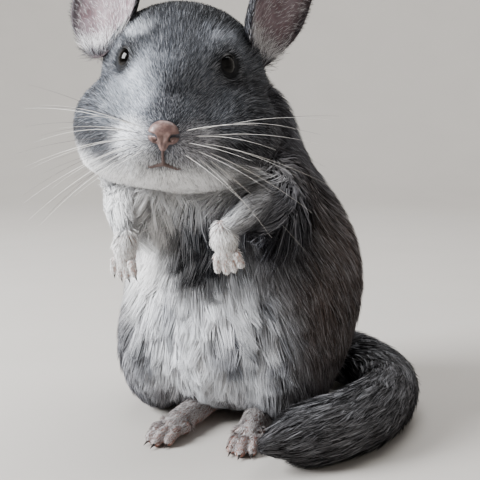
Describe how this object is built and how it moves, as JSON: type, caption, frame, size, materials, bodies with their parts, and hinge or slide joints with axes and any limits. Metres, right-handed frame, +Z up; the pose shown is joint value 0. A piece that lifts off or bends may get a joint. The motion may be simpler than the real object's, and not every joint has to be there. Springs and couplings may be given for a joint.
{
  "type": "chinchilla",
  "caption": "Still life-size model of a grey and cream chinchilla sitting up on its haunches, forepaws held to the chest, bushy tail lying round one side.",
  "frame": {"origin": "on the floor, in the middle of the flat under the rump on which the animal sits", "axes": "+Z up along the longest extent, the body faces -Y, the animal's left side is at +X"},
  "size_m": [0.157, 0.1488, 0.2231],
  "materials": {
    "fur_silver": "silver-grey plush fur with dark tips, layered soft guard hairs over dense underfur, matte",
    "fur_grey": "mid to dark grey plush fur, layered soft guard hairs over dense underfur, matte",
    "fur_pale": "cream-white to pale grey plush fur, layered soft guard hairs over dense underfur, matte",
    "fur_tail": "long coarse dark hair with pale tips, matte",
    "foot_skin": "bare pinkish-grey skin with fine creases and short pale fur",
    "ear_skin": "thin pinkish skin, nearly bare, with fine pale hairs",
    "eye": "wet glossy near-black"
  },
  "bodies": {
    "root": {"head": "fur_silver", "neck": "fur_pale", "torso": "fur_pale", "haunch_left": "fur_grey", "haunch_right": "fur_grey", "hind_foot_left": "foot_skin", "hind_foot_right": "foot_skin", "foreleg_left": "fur_pale", "foreleg_right": "fur_pale", "forepaw_left": "foot_skin", "forepaw_right": "foot_skin", "ear_left": "ear_skin", "ear_right": "ear_skin", "eye_left": "eye", "eye_right": "eye", "tail_root": "fur_tail", "tail_middle": "fur_tail", "tail_tip": "fur_tail"}
  },
  "joints": []
}
